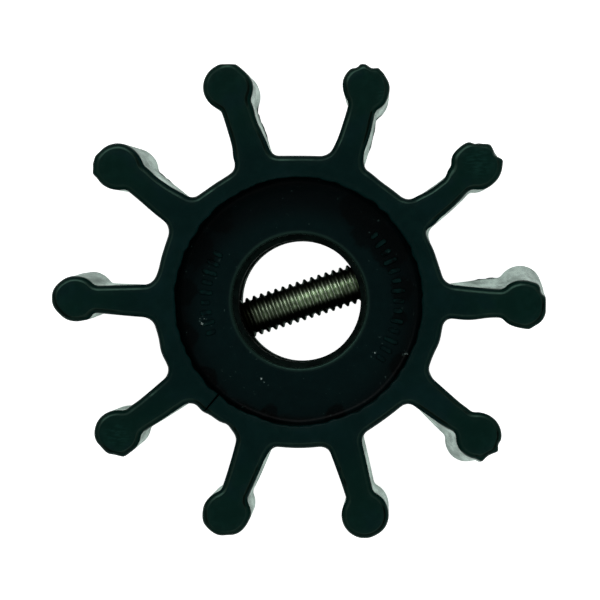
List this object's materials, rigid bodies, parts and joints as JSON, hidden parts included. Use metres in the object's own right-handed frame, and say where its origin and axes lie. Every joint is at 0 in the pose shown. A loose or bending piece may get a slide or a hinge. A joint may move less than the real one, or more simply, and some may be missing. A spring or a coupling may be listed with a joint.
{
  "type": "pump impeller",
  "caption": "Flexible rubber pump impeller: a hub with bulb-tipped blades moulded round a rigid bush, with a drive screw across its bore.",
  "frame": {"origin": "middle of the bore at half the impeller's width", "axes": "+Z along the bore's axis towards the front face, +X along the first blade"},
  "size_m": [0.0508, 0.0487, 0.0222],
  "materials": {
    "rubber": "moulded, satin to matt, dark blue-green black",
    "bush_metal": "bored, dull and darkened",
    "screw_steel": "cut thread, bright flanks"
  },
  "bodies": {
    "root": {"rubber_body": "rubber", "hub_insert": "bush_metal", "drive_screw": "screw_steel"}
  },
  "joints": []
}
